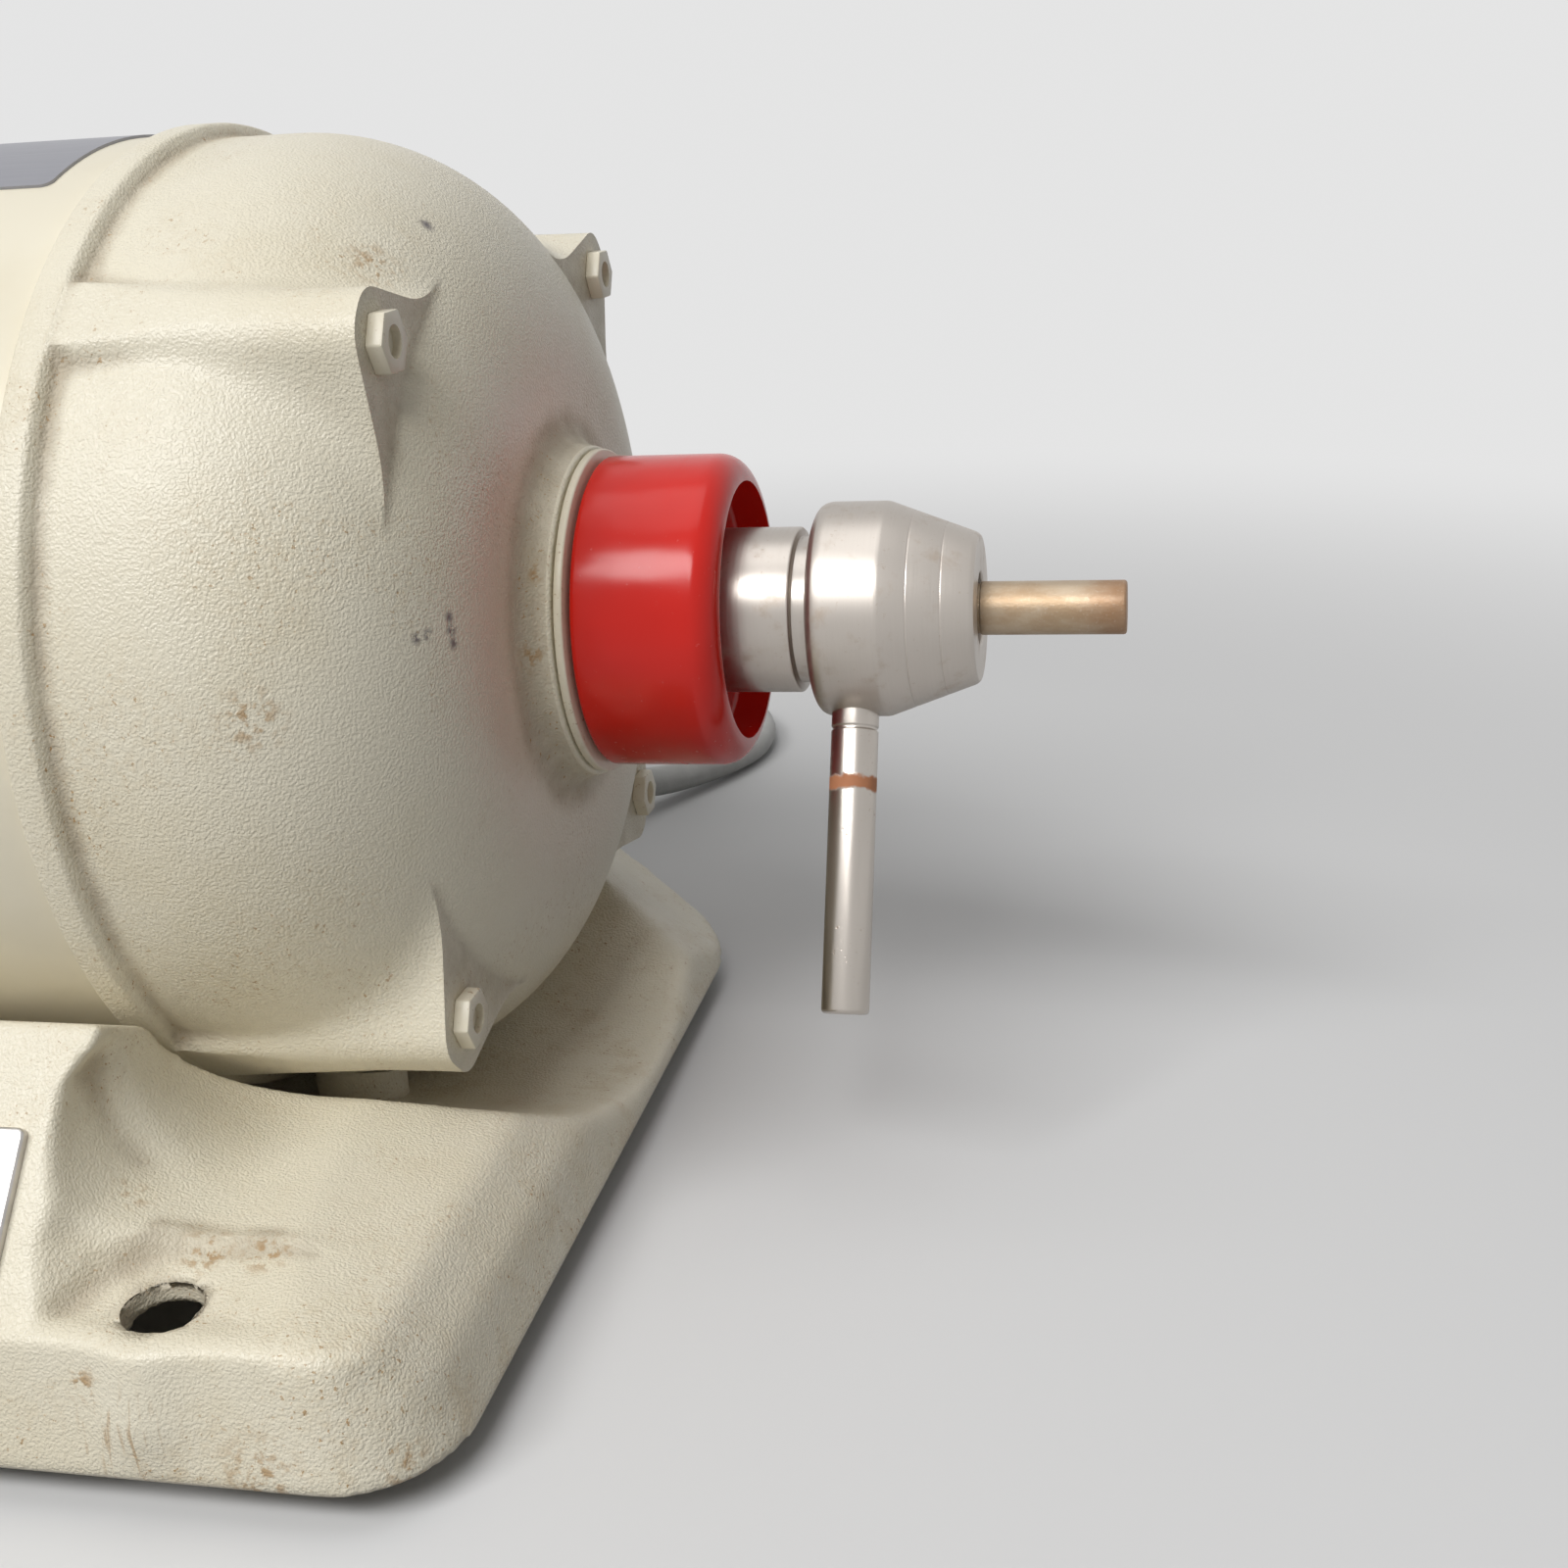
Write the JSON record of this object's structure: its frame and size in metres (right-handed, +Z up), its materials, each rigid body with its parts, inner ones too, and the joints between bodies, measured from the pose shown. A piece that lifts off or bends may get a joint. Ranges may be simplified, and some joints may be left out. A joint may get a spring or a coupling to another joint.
{
  "type": "bench polishing lathe",
  "caption": "Bench polishing lathe: cream cast motor on a cast base with a toggle switch, red release collars, a lever chuck holding a pin, and a tapered screw spindle opposite.",
  "frame": {"origin": "on the bench, under the middle of the base along the shaft and front to back", "axes": "+X along the shaft towards the lever chuck, +Y towards the back, +Z up"},
  "size_m": [0.394, 0.3798, 0.1804],
  "materials": {
    "cream_enamel": "satin cast-metal enamel, yellowed cream",
    "foot_rubber": "matt black rubber",
    "plated_steel": "dull zinc plate",
    "blank_foil": "blue-grey satin foil, left blank",
    "core_steel": "stacked steel sheet",
    "winding_varnish": "varnished copper wire",
    "cast_aluminium": "as cast",
    "turned_steel": "fine turned steel",
    "stained_steel": "brown stained steel",
    "bearing_steel": "ground and polished",
    "cage_brass": "pressed brass",
    "red_plastic": "glossy dark red",
    "switch_chrome": "bright chrome",
    "capacitor_can": "drawn can",
    "black_plastic": "matt black",
    "cord_grey": "light grey cord sheath",
    "plug_brass": "plain brass"
  },
  "bodies": {
    "frame": {"base_casting": "cream_enamel", "right_end_bell": "cream_enamel", "left_end_bell": "cream_enamel", "motor_shell": "cream_enamel", "seat_spacers": "cream_enamel", "through_bolts": "cream_enamel", "through_bolt_nuts": "cream_enamel", "rubber_feet": "foot_rubber", "foot_screws": "plated_steel", "seat_bolts": "plated_steel", "switch_plate_screws": "plated_steel", "preload_washer": "plated_steel", "rating_plate": "blank_foil", "stator_core": "core_steel", "stator_windings": "winding_varnish", "right_bearing_outer_race": "bearing_steel", "right_collar_bush": "cream_enamel", "left_bearing_outer_race": "bearing_steel", "left_collar_bush": "cream_enamel", "switch_plate": "switch_chrome", "switch_nut": "switch_chrome", "switch_body": "switch_chrome", "run_capacitor": "capacitor_can", "capacitor_clamp": "black_plastic", "strain_relief": "cord_grey", "power_cord": "cord_grey", "cord_coil": "cord_grey", "plug_body": "cord_grey", "coil_tie": "black_plastic", "plug_pins": "plug_brass"},
    "spindle": {"shaft": "turned_steel", "rotor_core": "core_steel", "rotor_end_rings": "cast_aluminium", "right_bearing_inner_race": "bearing_steel", "left_bearing_inner_race": "bearing_steel"},
    "right_cage": {"right_bearing_cage": "cage_brass", "right_bearing_balls": "bearing_steel"},
    "left_cage": {"left_bearing_cage": "cage_brass", "left_bearing_balls": "bearing_steel"},
    "right_collar": {"right_release_collar": "red_plastic"},
    "left_collar": {"left_release_collar": "red_plastic"},
    "right_ejector": {"right_ejector_sleeve": "turned_steel", "right_cam_pins": "turned_steel"},
    "left_ejector": {"left_ejector_sleeve": "turned_steel", "left_cam_pins": "turned_steel"},
    "chuck": {"chuck_body": "turned_steel"},
    "closer": {"closing_collar": "turned_steel", "lever_rod": "turned_steel"},
    "gripped_pin": {"collet": "turned_steel", "mandrel_pin": "stained_steel"},
    "screw": {"screw_spindle": "turned_steel"},
    "toggle": {"toggle_lever": "switch_chrome"}
  },
  "joints": [
    {"name": "spindle_spin", "type": "hinge", "parent": "frame", "child": "spindle", "pos_m": [0, 0.0186, 0.0962], "axis": [1, 0, 0], "continuous": true},
    {"name": "right_cage_roll", "type": "hinge", "parent": "frame", "child": "right_cage", "pos_m": [0, 0.0186, 0.0962], "axis": [1, 0, 0], "continuous": true},
    {"name": "left_cage_roll", "type": "hinge", "parent": "frame", "child": "left_cage", "pos_m": [0, 0.0186, 0.0962], "axis": [1, 0, 0], "continuous": true},
    {"name": "right_collar_turn", "type": "hinge", "parent": "frame", "child": "right_collar", "pos_m": [0, 0.0186, 0.0962], "axis": [1, 0, 0], "range_deg": [0, 60]},
    {"name": "left_collar_turn", "type": "hinge", "parent": "frame", "child": "left_collar", "pos_m": [0, 0.0186, 0.0962], "axis": [-1, 0, 0], "range_deg": [0, 60]},
    {"name": "right_ejector_push", "type": "slide", "parent": "frame", "child": "right_ejector", "axis": [1, 0, 0], "range_m": [0, 0.0025]},
    {"name": "left_ejector_push", "type": "slide", "parent": "frame", "child": "left_ejector", "axis": [-1, 0, 0], "range_m": [0, 0.0025]},
    {"name": "chuck_release", "type": "slide", "parent": "spindle", "child": "chuck", "axis": [1, 0, 0], "range_m": [0, 0.0025]},
    {"name": "screw_release", "type": "slide", "parent": "spindle", "child": "screw", "axis": [-1, 0, 0], "range_m": [0, 0.0025]},
    {"name": "lever_turn", "type": "hinge", "parent": "chuck", "child": "closer", "pos_m": [0, 0.0186, 0.0962], "axis": [1, 0, 0], "range_deg": [-70, 0]},
    {"name": "collet_open", "type": "slide", "parent": "chuck", "child": "gripped_pin", "axis": [-1, 0, 0], "range_m": [0, 0.0004]},
    {"name": "toggle_swing", "type": "hinge", "parent": "frame", "child": "toggle", "pos_m": [0, -0.08984, 0.04067], "axis": [1, 0, 0], "range_deg": [-14, 14]}
  ],
  "couplings": [
    {"joint": "right_cage_roll", "follows": "spindle_spin", "ratio": 0.3818},
    {"joint": "left_cage_roll", "follows": "spindle_spin", "ratio": 0.3818},
    {"joint": "right_collar_turn", "follows": "right_ejector_push", "rad_per_m": 418.87},
    {"joint": "chuck_release", "follows": "right_ejector_push", "ratio": 1},
    {"joint": "left_collar_turn", "follows": "left_ejector_push", "rad_per_m": 418.87},
    {"joint": "screw_release", "follows": "left_ejector_push", "ratio": 1},
    {"joint": "collet_open", "follows": "lever_turn", "m_per_rad": -0.0003274}
  ]
}
